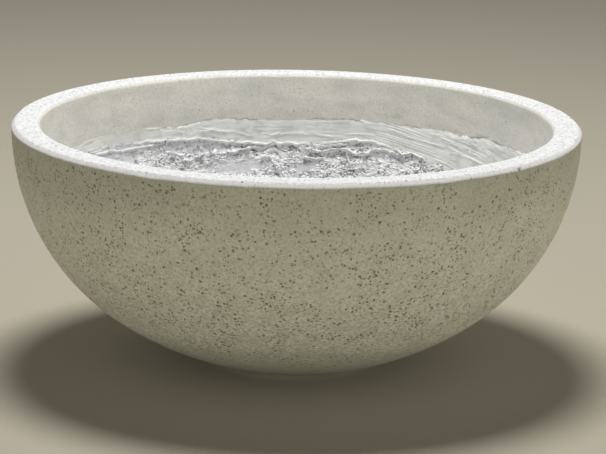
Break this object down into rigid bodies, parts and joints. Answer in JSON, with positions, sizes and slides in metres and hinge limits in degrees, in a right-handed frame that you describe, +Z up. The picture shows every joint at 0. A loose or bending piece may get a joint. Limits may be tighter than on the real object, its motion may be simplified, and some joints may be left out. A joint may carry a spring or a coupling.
{
  "type": "bowl planter",
  "caption": "Round concrete bowl planter with a speckled face, a flat ground rim, a rough brushed lining inside and a plugged drain in its foot.",
  "frame": {"origin": "on the ground, under the bowl's axis", "axes": "+Z up along the bowl's axis; -Y towards the viewer of the picture"},
  "size_m": [0.8, 0.7998, 0.342],
  "materials": {
    "speckled_facing": "fine dark chips in a pale warm grey matrix, with a ground, near-white rim",
    "glass_fibre_mesh": "woven glass fibre, wetted out in cement",
    "backing_concrete": "rough, hand-packed",
    "steel_rod": "galvanised",
    "brushed_lining": "glossy, brushed on thick, with ridges and creases",
    "grey_pipe": "extruded",
    "plug_rubber": "moulded, matt"
  },
  "bodies": {
    "bowl": {"facing_shell": "speckled_facing", "reinforcing_mesh": "glass_fibre_mesh", "backing_shell": "backing_concrete", "rim_hoop": "steel_rod", "waterproof_lining": "brushed_lining", "drain_sleeve": "grey_pipe"},
    "plug": {"drain_plug": "plug_rubber"}
  },
  "joints": [
    {"name": "plug_lift", "type": "slide", "parent": "bowl", "child": "plug", "axis": [0, 0, 1], "range_m": [0, 0.33]}
  ]
}
